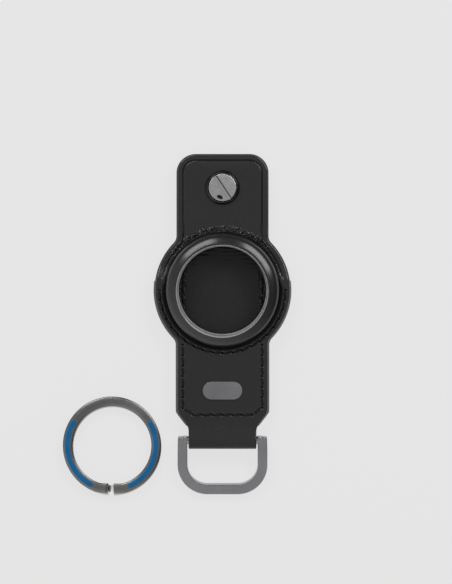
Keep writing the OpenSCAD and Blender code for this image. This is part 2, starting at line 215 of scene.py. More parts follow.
def lathe(bm, section, segments, y=0):
    # The section is drawn as (radius, height), then stood up and spun about its axis
    old = set(bm.verts)
    draw(bm, section[0], section[1:])
    verts = [v for v in bm.verts if v not in old]
    rotate(bm, pi / 2, "X", verts)
    bmesh.ops.spin(bm, geom=verts + linkedEdges(verts), cent=(0, 0, 0), axis=(0, 0, 1), angle=2 * pi, steps=segments,
                   use_merge=True)
    verts = [v for v in bm.verts if v not in old]
    slide(bm, (0, y, 0), verts)
    bmesh.ops.remove_doubles(bm, verts=verts, dist=0.001)


def cutGrid(bm, faces, lines):
    # Cuts only these faces along lines: (axis, value)
    geom = list(dict.fromkeys(g for f in faces for g in (*f.verts, *f.edges))) + faces
    for axis, value in lines:
        at, way = [0, 0, 0], [0, 0, 0]
        at[axis], way[axis] = value, 1
        geom = bmesh.ops.bisect_plane(bm, geom=geom, dist=0.0001, plane_co=at, plane_no=way)["geom"]


def gridLines(low, high, cell):
    lines = []
    for axis in (0, 1):
        count = int((high[axis] - low[axis]) / cell)
        lines += [(axis, low[axis] + (i + 0.5) * cell) for i in range(count)]
    return lines


def plate(bm, bottom, top):
    # Fills the drawn loops, holes included, and gives them thickness
    slide(bm, (0, 0, bottom))
    bmesh.ops.triangle_fill(bm, use_beauty=True, edges=bm.edges[:], normal=(0, 0, -1))
    thicken(bm, top - bottom)


def thicken(bm, height):
    made = bmesh.ops.extrude_face_region(bm, geom=bm.faces[:])["geom"]
    slide(bm, (0, 0, height), vertsIn(made))
    fixNormals(bm)


def roundRims(bm, size, segments=3, least=40, keep=None):
    # Bevels the edges that turn by more than `least` degrees
    rims = [e for e in bm.edges if len(e.link_faces) == 2 and e.calc_face_angle(0) > radians(least)
            and (keep is None or keep(e))]
    bmesh.ops.bevel(bm, geom=rims, offset=size, offset_type="OFFSET", segments=segments, profile=0.5,
                    affect="EDGES", clamp_overlap=True, material=-1)


def addObject(name, data):
    made = bpy.data.objects.new(name, data)
    scene.collection.objects.link(made)
    return made


def finishPiece(name, bm, body, material, replaced, recalc=True):
    weld(bm, 0.0005)
    if recalc:
        fixNormals(bm)
    bmesh.ops.scale(bm, vec=(0.001, 0.001, 0.001), verts=bm.verts[:])
    mesh = toMesh(bm, name)
    mesh.shade_smooth()
    mesh.set_sharp_from_angle(angle=radians(42))
    mesh.materials.append(material)
    piece = addObject(name, mesh)
    if body:
        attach(piece, body)
    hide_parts(*replaced)
    print("made", name, len(mesh.polygons), "faces")
    return piece


def addNode(tree, kind, inputs=None, **settings):
    node = tree.nodes.new("ShaderNode" + kind)
    for key, value in settings.items():
        setattr(node, key, value)
    for key, value in (inputs or {}).items():
        if isinstance(value, bpy.types.NodeSocket):
            tree.links.new(value, node.inputs[key])
        else:
            node.inputs[key].default_value = value
    return node


def emptyTree(owner):
    owner.use_nodes = True
    owner.node_tree.nodes.clear()
    return owner.node_tree


def newMaterial(name):
    material = bpy.data.materials.new(name)
    tree = emptyTree(material)
    shader = addNode(tree, "BsdfPrincipled")
    addNode(tree, "OutputMaterial", {"Surface": shader.outputs[0]})
    place = addNode(tree, "TexCoord").outputs["Object"]
    return material, tree, shader, place


def addNoise(tree, place, scale, detail):
    return addNode(tree, "TexNoise", {"Vector": place, "Scale": scale, "Detail": detail}).outputs["Fac"]


def spread(tree, value, low, high, start=0.3, end=0.7):
    # Stretches the middle of a pattern over the range from low to high
    return addNode(tree, "MapRange", {"Value": value, "From Min": start, "From Max": end,
                                      "To Min": low, "To Max": high}).outputs[0]


def mix(tree, share, first, second):
    return addNode(tree, "MixRGB", {"Fac": share, "Color1": first, "Color2": second}).outputs[0]


def setInputs(shader, values):
    for key, value in values.items():
        shader.inputs[key].default_value = value


def addTint(tree, shader, pattern, look):
    tint = mix(tree, spread(tree, pattern, 0.0, 1.0), (*look["dark"], 1), (*look["light"], 1))
    tree.links.new(tint, shader.inputs["Base Color"])


def addBump(tree, shader, height, strength, depth):
    bump = addNode(tree, "Bump", {"Height": height, "Strength": strength, "Distance": depth})
    tree.links.new(bump.outputs[0], shader.inputs["Normal"])


def addRoughness(tree, shader, pattern, low, high):
    tree.links.new(spread(tree, pattern, low, high), shader.inputs["Roughness"])


def leatherMaterial(look):
    grainShare, broadScale, mottleScale, mottleShare = 2.6, 55.0, 1500.0, 0.6
    smoother, rougher = 0.05, 0.06  # how far the roughness strays either way
    material, tree, shader, place = newMaterial(look["name"])
    cells = addNode(tree, "TexVoronoi", {"Vector": place, "Scale": look["grain"]}, feature="SMOOTH_F1")
    fine = addNoise(tree, place, look["grain"] * grainShare, 3.0)
    broad = addNoise(tree, place, broadScale, 4.0)
    broad = mix(tree, mottleShare, broad, addNoise(tree, place, mottleScale, 1.0))
    grain = addNode(tree, "Math", {0: cells.outputs["Distance"], 1: fine}, operation="ADD").outputs[0]
    addBump(tree, shader, grain, look["bump"], look["depth"])
    addTint(tree, shader, broad, look)
    addRoughness(tree, shader, fine, look["rough"] - smoother, look["rough"] + rougher)
    setInputs(shader, {"Specular IOR Level": look["specular"], "Coat Weight": look.get("coat", 0),
                       "Coat Roughness": look.get("coatRough", 0.3)})
    return material


def metalMaterial(look):
    broadScale, scratchDepth = 90.0, 0.00001
    material, tree, shader, place = newMaterial(look["name"])
    setInputs(shader, {"Metallic": 1})
    brushed = addNode(tree, "Mapping", {"Vector": place, "Scale": look.get("brush", (1, 1, 1))}).outputs[0]
    streaks = addNoise(tree, brushed, look.get("streaks", 900.0), 4.0)
    addTint(tree, shader, addNoise(tree, place, broadScale, 2.0), look)
    rough, vary = look["rough"], look["vary"]
    addRoughness(tree, shader, streaks, rough - vary, rough + vary)
    addBump(tree, shader, streaks, look.get("bump", 0.15), scratchDepth)
    return material


def paintedLightMetal(look):
    # As metalMaterial, with painted light and shade from a vertex attribute: the painted tone where it is 1, and
    # painted rim shade where it is below 0
    material = metalMaterial(look)
    tree = material.node_tree
    shader = [node for node in tree.nodes if node.type == "BSDF_PRINCIPLED"][0]
    paintedLight = addNode(tree, "Attribute", attribute_name="paintedLight").outputs["Fac"]
    plain = shader.inputs["Base Color"].links[0].from_socket
    tint = mix(tree, paintedLight, plain, (*look["paintedTone"], 1))
    below = addNode(tree, "Math", {0: paintedLight, 1: -1.0}, operation="MULTIPLY", use_clamp=True).outputs[0]
    tint = mix(tree, below, tint, (*look["paintedRimShade"], 1))
    tree.links.new(tint, shader.inputs["Base Color"])
    return material


def glossMaterial(look):
    bumpDepth, coatRough, smoother, rougher = 0.00003, 0.08, 0.03, 0.05
    material, tree, shader, place = newMaterial(look["name"])
    broad = addNoise(tree, place, look["scale"], 3.0)
    addTint(tree, shader, broad, look)
    addRoughness(tree, shader, broad, look["rough"] - smoother, look["rough"] + rougher)
    addBump(tree, shader, broad, look["bump"], bumpDepth)
    setInputs(shader, {"Specular IOR Level": look["specular"], "Coat Weight": look["coat"],
                       "Coat Roughness": coatRough})
    return material


# Where the rows of stitches run, and how far apart the holes are
seam = {
    "pitch": 2.9, "x": 12.1, "startY": -16.65, "bendY": -35.85,
    "endX": 9.06, "endY": -37.85,
    "roundR": 19.15,
    "bottomX": 8.9, "bottomY": -38.0,
    "pocketY": 10.27, "rearStartY": -12.3, "strapTopY": 35.9,
}


def rowPlaces(start, end, joints=False):
    # Middles of a row's stitches, or the holes between them, as (x, y, angle)
    run = Vector(end) - Vector(start)
    count = int(run.length / seam["pitch"])
    shares = [i / count for i in range(count + 1)] if joints else [(i + 0.5) / count for i in range(count)]
    turn = degrees(atan2(run.y, run.x))
    return [(start[0] + run.x * share, start[1] + run.y * share, turn) for share in shares]


def roundPlaces(joints=False):
    count = int(pi * seam["roundR"] / seam["pitch"])
    steps = range(count + 1) if joints else [i + 0.5 for i in range(count)]
    turns = [180 + 180 * i / count for i in steps]
    return [(seam["roundR"] * cos(radians(t)), seam["roundR"] * sin(radians(t)), t + 90) for t in turns]


def sidePlaces(side, joints=False):
    first = rowPlaces((side * seam["x"], seam["startY"]), (side * seam["x"], seam["bendY"]), joints)
    last = rowPlaces((side * seam["x"], seam["bendY"]), (side * seam["endX"], seam["endY"]), joints)
    return first + (last[1:] if joints else last)


def bottomPlaces(joints=False):
    return rowPlaces((-seam["bottomX"], seam["bottomY"]), (seam["bottomX"], seam["bottomY"]), joints)


frontLeather = leatherMaterial({
    "name": "frontLeather", "grain": 2000.0, "bump": 0.6, "depth": 0.00008, "rough": 0.42, "specular": 0.1,
    "dark": (0.0072, 0.0072, 0.0079), "light": (0.0118, 0.0118, 0.0126), "coat": 1.0, "coatRough": 0.2})
liningLeather = leatherMaterial({
    "name": "liningLeather", "grain": 3000.0, "bump": 0.4, "depth": 0.00003, "rough": 0.66, "specular": 0.35,
    "dark": (0.010, 0.010, 0.011), "light": (0.016, 0.016, 0.017)})
# The edges are black edge paint; their light grey colour is a painted reflection of the bright room on the glossy
# rounded sides
edgePaintWithSheen = leatherMaterial({
    "name": "edgePaintWithSheen", "grain": 900.0, "bump": 0.2, "depth": 0.00003, "rough": 0.3, "specular": 0.5,
    "dark": (0.10, 0.10, 0.103), "light": (0.16, 0.16, 0.165), "coat": 0.5, "coatRough": 0.2})
backLeather = leatherMaterial({
    "name": "backLeather", "grain": 2100.0, "bump": 0.5, "depth": 0.00004, "rough": 0.5, "specular": 0.05,
    "dark": (0.0152, 0.0152, 0.016), "light": (0.021, 0.021, 0.0218), "coat": 0.4, "coatRough": 0.24})
windowMetal = metalMaterial({
    "name": "windowMetal", "dark": (0.40, 0.40, 0.41), "light": (0.48, 0.48, 0.49), "rough": 0.4, "vary": 0.05})
badgeMetal = metalMaterial({
    "name": "badgeMetal", "dark": (0.26, 0.26, 0.27), "light": (0.33, 0.33, 0.34), "rough": 0.3, "vary": 0.06,
    "brush": (0.06, 1, 1), "streaks": 5200.0, "bump": 0.3})
# the screw's dark painted tone is painted shade in the dent beside the slot
screwMetal = paintedLightMetal({
    "name": "screwMetal", "dark": (0.46, 0.46, 0.465), "light": (0.53, 0.53, 0.535), "rough": 0.34, "vary": 0.05,
    "bump": 0.2, "paintedTone": (0.02, 0.02, 0.02), "paintedRimShade": (0.03, 0.03, 0.031)})
washerMetal = metalMaterial({
    "name": "washerMetal", "dark": (0.035, 0.035, 0.036), "light": (0.05, 0.05, 0.052), "rough": 0.24, "vary": 0.03})
ringMetal = metalMaterial({
    "name": "ringMetal", "dark": (0.34, 0.34, 0.355), "light": (0.40, 0.40, 0.415), "rough": 0.24, "vary": 0.05})
# The key ring's light tone is a painted highlight on the step and painted light on the lower turn, and its dark rim
# tone is a painted shadow between the turns
keyRingMetal = paintedLightMetal({
    "name": "keyRingMetal", "dark": (0.20, 0.197, 0.195), "light": (0.27, 0.265, 0.262), "rough": 0.3,
    "vary": 0.04, "bump": 0.05, "paintedTone": (0.85, 0.845, 0.84), "paintedRimShade": (0.03, 0.03, 0.031)})
threadBlack = glossMaterial({
    "name": "threadBlack", "dark": (0.002, 0.002, 0.002), "light": (0.007, 0.007, 0.007), "rough": 0.55,
    "scale": 2500.0, "bump": 0.5, "coat": 0.0, "specular": 0.2})
blueEnamel = glossMaterial({
    "name": "blueEnamel", "dark": (0.008, 0.106, 0.26), "light": (0.012, 0.134, 0.328), "rough": 0.16,
    "scale": 260.0, "bump": 0.05, "coat": 0.0, "specular": 0.1})
print("materials made")


def foldTab(bm, look):
    # Wraps the flat tab round the ring bar: leg, loop, leg and tucked end
    h = holder
    reach, up = h["taperY"] - h["barY"], look["middleZ"] - h["barZ"]
    mid = look["foldR"]
    far = hypot(reach, up)
    opening = atan2(up, reach) + acos(mid / far)
    leg = sqrt(far * far - mid * mid)
    arc = 2 * pi - 2 * opening
    slope = Vector((-sin(opening), cos(opening)))
    for vert in bm.verts:
        along = h["taperY"] - vert.co.y
        if along <= 0:
            continue
        out = vert.co.z - look["middleZ"]
        if along < leg:
            foot = Vector((mid * cos(opening), mid * sin(opening))) - slope * (leg - along)
            foot += Vector((cos(opening), sin(opening))) * out
        elif along < leg + mid * arc:
            turned = opening + (along - leg) / mid
            power = look["pressed"] if pi / 2 < turned < 3 * pi / 2 else 2  # past the bar the fold is pressed square
            square = (abs(cos(turned)) ** power + abs(sin(turned)) ** power) ** (-1 / power)
            stretch = 1 + (square - 1) * (0.5 + out / look["thick"])
            foot = Vector((cos(turned), sin(turned))) * (mid + out) * stretch
        else:
            turned = opening + arc
            low = Vector((mid * cos(turned), mid * sin(turned)))
            run = along - leg - mid * arc
            if run < leg:
                foot = low + Vector((-sin(turned), cos(turned))) * run
                foot += Vector((cos(turned), sin(turned))) * out
            else:
                foot = Vector((reach + run - leg, -up - out))
        vert.co.y, vert.co.z = h["barY"] + foot.x, h["barZ"] + foot.y
    ease = look["ease"]
    for vert in bm.verts:  # eases the bend where the tab rises over the bar
        gap = abs(vert.co.y - h["taperY"])
        if gap < ease and vert.co.z > look["easeFromZ"]:
            vert.co.z += look["easeRise"] * (ease - gap) ** 2 / (4 * ease)


def domeSection(look):
    # The dome's wall as (radius, height): up the outside, over the lip and down the inside
    steps = [(17.66, 5.52), (17.52, 5.34), (17.44, 5.3), (17.4, 5.42), (17.38, 5.7), (17.34, 6.3), (17.28, 6.95)]
    steps += [(17.25, 7.45), (17.18, 7.95), (17.04, 8.4), (16.84, 8.75), (16.58, 9.06), (16.25, 9.31), (15.85, 9.53)]
    steps += [(15.4, 9.73), (14.95, 9.92), (14.55, 10.09), (14.36, 10.2), (13.98, 10.2), (13.56, 10.2)]
    steps += [(13.56, 9.2), (14.3, 9.2)]
    steps += [(14.3 + 1.9 * cos(radians(a)), 7.2 + 2 * sin(radians(a))) for a in (75, 50, 25, 0)]
    return steps + [(16.2, 5.8), (16.2, look["bottomZ"])]


def makeFrontLeather():
    # The front leather is one piece: flange, dome, lower body, tab and flap
    look = {
        "topZ": 5.6, "bottomZ": 4.4, "middleZ": 5.0, "thick": 1.2, "rimSpread": 0.15,
        "flatZ": 5.65,  # the leather above this height is the dome
        "upperZ": 5.25,  # and between the two it is the upper face
        "insideDome": (17, 4.5),  # within this radius and above this height is the dome's inside
        "tabLength": 20.8, "foldR": 1.95, "pressed": 7, "ease": 2.2, "easeRise": 0.242, "easeFromZ": 4,
        "rimSteps": [(0.05, 0.16), (0.10, 0.11), (0.18, 0.06)],  # (inwards, upwards) round the upper edge
        "footR": 17.85, "segments": 240, "holeR": 2.6, "outsideR": 17.9,
        # the line pressed along the edge: its loops, the share of its depth at each, and where it starts
        "creaseFrom": 1.45, "creaseSteps": (0.12, 0.13, 0.16, 0.22), "creaseShares": (0.85, 1.0, 0.25, 0),
        "creaseDepth": 0.36, "creaseFade": (2.2, 4.6), "gentleFromY": 20,
        # the fall of the flange to the flap, and the hollow round the dome below it
        "fall": 1.15, "slope": (2.8, 8.2), "dip": 0.28, "dipR": (17.6, 18.6), "dipY": (0.5, 3),
        # the holes under the stitches and the lip round each
        "holeDepth": 0.6, "holeWidth": 0.36, "lipHeight": 0.05, "lipR": 0.62, "lipWidth": 0.22,
        "holesLow": (-20, -40), "holesHigh": (20, 1.5), "holeReach": 1.7, "holeCell": 0.17,
        # the wrinkles above the dome: (scale x, scale y, layer) and strength of each ripple
        "wrinkleHeight": 0.72, "wrinkleR": (17.88, 18.15, 18.9, 20.2), "wrinkleTurn": (34, 50, 136, 152),
        "ripples": [((1.5, 1.9, 3.1), 1), ((2.9, 3.6, 7.7), 0.6)], "rippleLevel": 0.42,
        "ridgeHeight": 0.3, "ridgeR": 18.12, "ridgeWidth": 0.24, "ridgeTurn": (12, 22, 52, 66),
        "ridgeNoise": (2.1, 2.1, 5.0), "ridgeUneven": 0.8,
        "wrinkleBand": (17.5, 21.2), "wrinkleLow": (-19.5, 3), "wrinkleHigh": (19.5, 20.6),
        "wrinkleCell": 0.17, "coarseCell": 1.3, "coarseLow": (-21, -40.5), "coarseHigh": (21, 22),
        # rows of cuts where the leather bends or slopes: (start, step, count), and single ones
        "bendRows": [(2.7, 0.4, 15), (19.8, 0.3, 14)], "tabRows": (0.28, 73),
        "wideRows": [9, 12, 15, 18, 26, 29, 33, 37], "bodyRows": [-22, -25, -28, -31, -34, -37.3, -39.5],
        "seamRow": 0.7,
    }
    h = holder
    bm = bmesh.new()
    halfOutline(bm, 0, tabEnd=h["taperY"] - look["tabLength"])
    closeOutline(bm)
    softenCorners(bm, 0)
    core = bmesh.ops.contextual_create(bm, geom=bm.edges[:])["faces"][0]
    core.normal_update()
    if core.normal.z < 0:
        core.normal_flip()
    slide(bm, (0, 0, look["topZ"] - sum(step[1] for step in look["rimSteps"])))
    groove = bm.verts.layers.float.new("groove")

    def inset(step, rise=0):
        bmesh.ops.inset_region(bm, faces=[core], thickness=step, depth=rise, use_boundary=True, use_even_offset=True)

    for step, rise in look["rimSteps"]:
        inset(step, rise)
    inset(look["creaseFrom"] - sum(step[0] for step in look["rimSteps"]))
    for step, share in zip(look["creaseSteps"], look["creaseShares"]):
        inset(step)
        for vert in core.verts:
            vert[groove] = share
    inner = list(core.edges)
    bmesh.ops.delete(bm, geom=[core], context="FACES_ONLY")
    foot = circleLoop(bm, 0, 0, look["topZ"], look["footR"], look["segments"])
    eye = circleLoop(bm, 0, h["screwY"], look["topZ"], look["holeR"], 48)
    bmesh.ops.triangle_fill(bm, use_beauty=True, edges=inner + foot + eye, normal=(0, 0, 1))

    rim = [e for e in bm.edges if len(e.link_faces) == 1 and e not in foot and e not in eye]
    side = dropLoop(bm, rim, rim[0].verts[0].co.z - look["bottomZ"] - look["rimSpread"])
    base = dropLoop(bm, side, look["rimSpread"])
    eyeBase = dropLoop(bm, eye, look["topZ"] - look["bottomZ"])
    wall = pullLoop(bm, foot, domeSection(look))
    bmesh.ops.triangle_fill(bm, use_beauty=True, edges=base + eyeBase + wall, normal=(0, 0, -1))
    fixNormals(bm)

    def isFlat(face):
        return max(v.co.z for v in face.verts) < look["flatZ"]

    def isUpper(face):
        return face.normal.z > 0.9 and isFlat(face)

    def inBand(face):
        middle = centreOf(face)
        near, far = look["wrinkleBand"]
        low, high = look["wrinkleLow"][1], look["wrinkleHigh"][1]
        return isUpper(face) and near < hypot(middle.x, middle.y) < far and low < middle.y < high

    rows = [start + step * i for start, step, count in look["bendRows"] for i in range(count)] + look["wideRows"]
    rows += [h["taperY"] + 0.01] + [h["taperY"] - look["tabRows"][0] * i for i in range(1, look["tabRows"][1] + 1)]
    rows += look["bodyRows"] + [seam["bottomY"] - look["seamRow"], seam["bottomY"] + look["seamRow"]]
    cutGrid(bm, [f for f in bm.faces if isFlat(f)], [(1, value) for value in rows])
    cutGrid(bm, [f for f in bm.faces if isUpper(f)],
            gridLines(look["coarseLow"], look["coarseHigh"], look["coarseCell"]))
    cutGrid(bm, [f for f in bm.faces if inBand(f)],
            gridLines(look["wrinkleLow"], look["wrinkleHigh"], look["wrinkleCell"]))
    holesTop = look["holesHigh"][1]
    holes = roundPlaces(True) + sidePlaces(-1, True) + sidePlaces(1, True) + bottomPlaces(True)

    def holeGap(x, y):
        return min((x - hole[0]) ** 2 + (y - hole[1]) ** 2 for hole in holes) ** 0.5

    def nearHole(face):
        middle = centreOf(face)
        return isUpper(face) and middle.y < holesTop and holeGap(middle.x, middle.y) < look["holeReach"]

    cutGrid(bm, [f for f in bm.faces if nearHole(f)],
            gridLines(look["holesLow"], look["holesHigh"], look["holeCell"]))

    steep, gentle = look["creaseShares"][0], look["creaseShares"][2]
    domeR, domeZ = look["insideDome"]
    for vert in bm.verts:
        x, y, z = vert.co
        r, turn = hypot(x, y), degrees(atan2(y, x))
        if z > look["flatZ"] or (r < domeR and z > domeZ):  # the dome, outside and inside
            continue
        isTop = z > look["upperZ"]
        crease = steep if y <= look["gentleFromY"] and vert[groove] == gentle else vert[groove]
        if isTop and y < look["dipY"][1]:
            vert.co.z -= look["dip"] * (1 - smoothStep(r, *look["dipR"])) * (1 - smoothStep(y, *look["dipY"]))
        vert.co.z -= look["fall"] * smoothStep(y, *look["slope"])
        vert.co.z -= look["creaseDepth"] * crease * smoothStep(y, *look["creaseFade"])
        if z > look["topZ"] - 0.1 and y < holesTop and r > look["outsideR"]:
            gap = holeGap(x, y)
            vert.co.z += look["lipHeight"] * bell(gap, look["lipR"], look["lipWidth"])
            vert.co.z -= look["holeDepth"] * bell(gap, 0, look["holeWidth"])
        if isTop and r > look["outsideR"] and y > look["dipY"][1]:
            share = plateau(r, *look["wrinkleR"]) * plateau(turn, *look["wrinkleTurn"])
            ripple = sum(strength * abs(noiseAt(x, y, *scales)) for scales, strength in look["ripples"])
            vert.co.z += look["wrinkleHeight"] * share * (look["rippleLevel"] - ripple)
            ridge = bell(r, look["ridgeR"], look["ridgeWidth"]) * plateau(turn, *look["ridgeTurn"])
            uneven = 1 + look["ridgeUneven"] * noiseAt(x, y, *look["ridgeNoise"])
            vert.co.z += look["ridgeHeight"] * ridge * uneven
    foldTab(bm, look)
    piece = finishPiece("frontLeather", bm, None, frontLeather, ["front_panel", "front_flap"])
    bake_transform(piece)


def makeFlapLining():
    look = {"bottomZ": 2.45, "topZ": 3.24, "startY": 22.9, "holeR": 2.6, "rim": 0.14, "grow": -0.1}
    bm = bmesh.new()
    halfOutline(bm, look["grow"], lower=False, disc=False, topFrom=look["startY"])
    closeOutline(bm)
    circleLoop(bm, 0, holder["screwY"], 0, look["holeR"], 48)
    plate(bm, look["bottomZ"], look["topZ"])
    roundRims(bm, look["rim"])
    finishPiece("flapLining", bm, "flap", liningLeather, ["flap_lining"])


def makeEdgeFiller():
    # Two layers: the upper one is whole, the lower one leaves room for the tab's tucked end
    look = {"grow": 0.55, "bottomZ": 2.41, "middleZ": 3.6, "topZ": 4.39, "endY": 2.9, "holeR": 16.22,
            "tuckX": 10.42, "tuckY": -35.4, "rim": 0.32, "rimClear": 0.28}  # rims nearer the hole stay sharp
    h, endY, tuckX, tuckY = holder, look["endY"], look["tuckX"], look["tuckY"]
    r, half, tab, neck, hollowY, face = outlineSizes(look["grow"])
    outerX, innerX = sqrt(r * r - endY ** 2), sqrt(look["holeR"] ** 2 - endY ** 2)
    outerEnd, innerEnd = degrees(atan2(endY, outerX)), degrees(atan2(endY, innerX))
    around = [(0, 0, 90 + innerEnd, 50), (outerX, endY), (0, 0, -outerEnd - face, 40),
              (half + neck, -hollowY, 90 - face, 8), (half, h["bodyY"]), (tab, h["taperY"])]
    layers = [(look["middleZ"], look["topZ"], look["topZ"], [(0, h["taperY"])]),
              (look["bottomZ"], look["middleZ"], look["bottomZ"], [(tuckX, h["taperY"]), (tuckX, tuckY), (0, tuckY)])]
    bm = bmesh.new()
    for bottom, top, rimZ, ending in layers:
        layer = bmesh.new()
        draw(layer, (0, -look["holeR"]), around + ending)
        closeOutline(layer)
        softenCorners(layer, look["grow"])
        plate(layer, bottom, top)
        roundRims(layer, look["rim"], 4, 40, lambda e: all(
            abs(v.co.z - rimZ) < 0.001 and hypot(*v.co.xy) > look["holeR"] + look["rimClear"] for v in e.verts))
        addShape(bm, layer)
    finishPiece("edgeFiller", bm, "holder", edgePaintWithSheen, ["edge_filler"])


def makeBackPanel():
    look = {"grow": 0.35, "bottomZ": 1.205, "topZ": 2.4, "holeR": 2.45, "rim": 0.25,
            "floorR": 14.6, "floorFade": (13.6, 14.5), "cell": 0.2, "rimFromR": 15,
            "pucker": 0.55, "puckerWidth": 0.8, "puckerNoise": (1.7, 1.5, 2.0),
            "wave": 0.06, "waveRate": 5.0, "waveBend": 2.4, "waveFrom": (3.5, 10), "uneven": 0.02,
            "bendNoise": (0.25, 0.2, 5.0), "foldNoise": (0.3, 0.9, 9.0), "unevenNoise": (0.5, 1.6, 4.0)}
    bm = bmesh.new()
    halfOutline(bm, look["grow"])
    closeOutline(bm)
    softenCorners(bm, look["grow"])
    circleLoop(bm, 0, holder["screwY"], 0, look["holeR"], 48)
    circleLoop(bm, 0, 0, 0, look["floorR"], 96)
    plate(bm, look["bottomZ"], look["topZ"])
    makePocketFloor(bm, look)
    roundRims(bm, look["rim"], keep=lambda e: all(hypot(*v.co.xy) > look["rimFromR"] for v in e.verts))
    finishPiece("backPanel", bm, "holder", backLeather, ["back_panel"])


def makePocketFloor(bm, look):
    # The round floor of the pocket, which shows in the window: puckered by its seams and lightly creased
    floorR = look["floorR"]
    for z in (look["bottomZ"], look["topZ"]):
        rim = [e for e in bm.edges
               if all(abs(hypot(*v.co.xy) - floorR) < 0.02 and abs(v.co.z - z) < 0.001 for v in e.verts)]
        wall = [f for e in rim for f in e.link_faces if abs(f.normal.z) < 0.5]
        if wall:
            bmesh.ops.delete(bm, geom=list(dict.fromkeys(wall)), context="FACES_ONLY")
        face = bmesh.ops.contextual_create(bm, geom=rim)["faces"]
        if z == look["topZ"]:
            cutGrid(bm, face, gridLines((-floorR, -floorR), (floorR, floorR), look["cell"]))
    bmesh.ops.delete(bm, geom=[e for e in bm.edges if not e.link_faces], context="EDGES")
    for vert in bm.verts:
        x, y, z = vert.co
        r = hypot(x, y)
        if z < look["topZ"] - 0.01 or r > look["floorFade"][1]:
            continue
        fade = 1 - smoothStep(r, *look["floorFade"])
        nearSeam = bell(abs(x), seam["x"], look["puckerWidth"])
        vert.co.z += fade * look["pucker"] * nearSeam * noiseAt(x, y, *look["puckerNoise"])
        fold = sin(y * look["waveRate"] + look["waveBend"] * noiseAt(x, y, *look["bendNoise"]))
        fold *= 0.5 + noiseAt(x, y, *look["foldNoise"])
        vert.co.z += fade * look["wave"] * fold * smoothStep(y, *look["waveFrom"])
        vert.co.z += fade * look["uneven"] * noiseAt(x, y, *look["unevenNoise"])


def seamGap(x, y):
    # Distance to the nearest row of stitches on the rear strap
    far = 9
    gaps = [abs(abs(x) - seam["x"]) if seam["bendY"] < y < seam["strapTopY"] else far]
    if y < 0 and hypot(x, y) > 1:
        gaps.append(abs(hypot(x, y) - seam["roundR"]))
    if abs(x) < seam["bottomX"]:
        gaps.append(abs(y - seam["bottomY"]))
    if seam["endY"] < y <= seam["bendY"]:  # the slanted run, whose gap is measured square to it
        inward, down = seam["endX"] - seam["x"], seam["endY"] - seam["bendY"]
        rowX = seam["x"] + inward * (y - seam["bendY"]) / down
        gaps.append(abs(abs(x) - rowX) * abs(down) / hypot(inward, down))
    return min(gaps)


def makeRearStrap():
    # The stitches at the rear lie in channels, so that the face stays flat
    look = {"grow": 0.15, "topZ": 1.195, "recessR": 5.05, "rim": 0.3, "rimClear": 0.15,
            "coarseCell": 2.5, "coarseLow": (-14, -42), "coarseHigh": (14, 41.5),
            "channel": 0.24, "channelSides": (0.2, 0.42), "channelCuts": (-0.45, -0.32, -0.2, 0, 0.2, 0.32, 0.45),
            "roundLow": (-13, -19.8), "roundHigh": (13, -12), "roundTopY": -11.5, "roundCell": 0.5,
            "cell": 0.21, "fineY": (-20, -11), "fineReach": 0.8}
    bm = bmesh.new()
    halfOutline(bm, look["grow"], disc=False)
    closeOutline(bm)
    softenCorners(bm, look["grow"])
    circleLoop(bm, 0, holder["screwY"], 0, look["recessR"], 72)
    plate(bm, 0, look["topZ"])
    roundRims(bm, look["rim"], keep=lambda e: all(
        hypot(v.co.x, v.co.y - holder["screwY"]) > look["recessR"] + look["rimClear"] for v in e.verts))

    def rearFaces(low=-100, high=100):
        return [f for f in bm.faces if f.normal.z < -0.9 and low < centreOf(f).y < high]

    cutGrid(bm, rearFaces(), gridLines(look["coarseLow"], look["coarseHigh"], look["coarseCell"]))
    cutGrid(bm, rearFaces(), [(0, side * (seam["x"] + d)) for side in (-1, 1) for d in look["channelCuts"]]
            + [(1, seam["bottomY"] + d) for d in look["channelCuts"]])
    cutGrid(bm, rearFaces(high=look["roundTopY"]),
            gridLines(look["roundLow"], look["roundHigh"], look["roundCell"]))
    fine = [f for f in rearFaces(*look["fineY"])
            if abs(hypot(*centreOf(f).xy) - seam["roundR"]) < look["fineReach"]]
    cutGrid(bm, fine, gridLines(look["roundLow"], look["roundHigh"], look["cell"]))
    for vert in bm.verts:
        if abs(vert.co.z) < 0.001:
            gap = seamGap(vert.co.x, vert.co.y)
            vert.co.z += look["channel"] * (1 - smoothStep(gap, *look["channelSides"]))
    finishPiece("rearStrap", bm, "holder", backLeather, ["rear_strap"])


def makeTurned(name, section, segments, body, material, node, y=0):
    bm = bmesh.new()
    lathe(bm, section, segments, y)
    finishPiece(name, bm, body, material, [node])


def makeWindowRing():
    # Sections as (radius, height). The rim has a groove, and stands wider at the lower left, as if pressed askew
    look = {
        "section": [(13.25, 8.9), (13.25, 10.4), (13.28, 10.45), (13.42, 10.45), (13.58, 10.2), (13.76, 10.45),
                    (14.0, 10.43), (14.05, 10.36), (14.05, 10.21), (13.55, 10.21), (13.55, 8.9), (13.25, 8.9)],
        "washer": [(13.56, 8.9), (14.2, 8.9), (14.25, 8.95), (14.25, 9.14), (14.2, 9.19), (13.56, 9.19), (13.56, 8.9)],
        "segments": 240, "shift": (-0.1, -0.33), "shiftFromR": 13.3, "shiftOver": 0.75, "shiftFromZ": 10.15,
    }
    bm = bmesh.new()
    lathe(bm, look["section"], look["segments"])
    for vert in bm.verts:
        share = max(0, (hypot(*vert.co.xy) - look["shiftFromR"]) / look["shiftOver"])
        if vert.co.z > look["shiftFromZ"]:
            vert.co.x += look["shift"][0] * share
            vert.co.y += look["shift"][1] * share
    finishPiece("windowRing", bm, "holder", windowMetal, ["window_ring"])
    makeTurned("windowWasher", look["washer"], 144, "holder", windowMetal, "window_washer")


